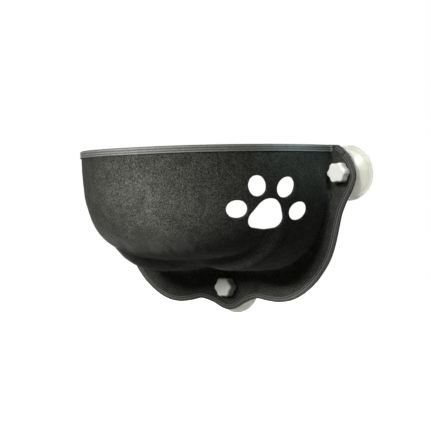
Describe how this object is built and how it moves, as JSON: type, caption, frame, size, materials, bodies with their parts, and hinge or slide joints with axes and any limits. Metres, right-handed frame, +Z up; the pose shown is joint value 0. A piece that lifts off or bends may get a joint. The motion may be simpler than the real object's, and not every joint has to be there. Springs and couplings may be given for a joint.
{
  "type": "window mounted cat perch",
  "caption": "Half bowl pod of felt faced foam with a wavy back flange and paw shaped cut-outs, held to a window by suction cups with screw-on knobs.",
  "frame": {"origin": "on the window's glass, at the centre of the lower suction cup", "axes": "+X right along the window seen from the room, +Y into the window, +Z up; the pod stands out along -Y"},
  "size_m": [0.561, 0.2938, 0.2843],
  "materials": {
    "felt_shell": "felt faced foam board, charcoal, heathered",
    "binding_tape": "ribbed woven tape, mid grey",
    "cup_soft_plastic": "soft translucent plastic, milky white",
    "stud_steel": "plain turned steel",
    "washer_steel": "plain pressed steel",
    "knob_plastic": "moulded plastic, ivory white",
    "nut_brass": "turned brass"
  },
  "bodies": {
    "perch": {"pod_shell": "felt_shell", "rim_binding": "binding_tape", "flange_binding": "binding_tape", "suction_cup_upper_left": "cup_soft_plastic", "suction_cup_upper_right": "cup_soft_plastic", "suction_cup_lower": "cup_soft_plastic", "cup_stud_upper_left": "stud_steel", "cup_stud_upper_right": "stud_steel", "cup_stud_lower": "stud_steel", "back_washer_upper_left": "washer_steel", "back_washer_upper_right": "washer_steel", "back_washer_lower": "washer_steel"},
    "front_washer_upper_left": {"front_washer_upper_left": "washer_steel"},
    "knob_upper_left": {"knob_upper_left": "knob_plastic", "knob_nut_upper_left": "nut_brass"},
    "front_washer_upper_right": {"front_washer_upper_right": "washer_steel"},
    "knob_upper_right": {"knob_upper_right": "knob_plastic", "knob_nut_upper_right": "nut_brass"},
    "front_washer_lower": {"front_washer_lower": "washer_steel"},
    "knob_lower": {"knob_lower": "knob_plastic", "knob_nut_lower": "nut_brass"}
  },
  "joints": [
    {"name": "knob_travel_upper_left", "type": "slide", "parent": "perch", "child": "front_washer_upper_left", "axis": [0, -1, 0], "range_m": [0, 0.007]},
    {"name": "knob_turn_upper_left", "type": "hinge", "parent": "front_washer_upper_left", "child": "knob_upper_left", "pos_m": [-0.234, -0.0355, 0.1904], "axis": [0, -1, 0], "range_deg": [0, 2016]},
    {"name": "knob_travel_upper_right", "type": "slide", "parent": "perch", "child": "front_washer_upper_right", "axis": [0, -1, 0], "range_m": [0, 0.007]},
    {"name": "knob_turn_upper_right", "type": "hinge", "parent": "front_washer_upper_right", "child": "knob_upper_right", "pos_m": [0.234, -0.0355, 0.1904], "axis": [0, -1, 0], "range_deg": [0, 2016]},
    {"name": "knob_travel_lower", "type": "slide", "parent": "perch", "child": "front_washer_lower", "axis": [0, -1, 0], "range_m": [0, 0.007]},
    {"name": "knob_turn_lower", "type": "hinge", "parent": "front_washer_lower", "child": "knob_lower", "pos_m": [0, -0.0355, 0], "axis": [0, -1, 0], "range_deg": [0, 2016]}
  ],
  "couplings": [
    {"joint": "knob_travel_upper_left", "follows": "knob_turn_upper_left", "m_per_rad": 0.00019894},
    {"joint": "knob_travel_upper_right", "follows": "knob_turn_upper_right", "m_per_rad": 0.00019894},
    {"joint": "knob_travel_lower", "follows": "knob_turn_lower", "m_per_rad": 0.00019894}
  ]
}
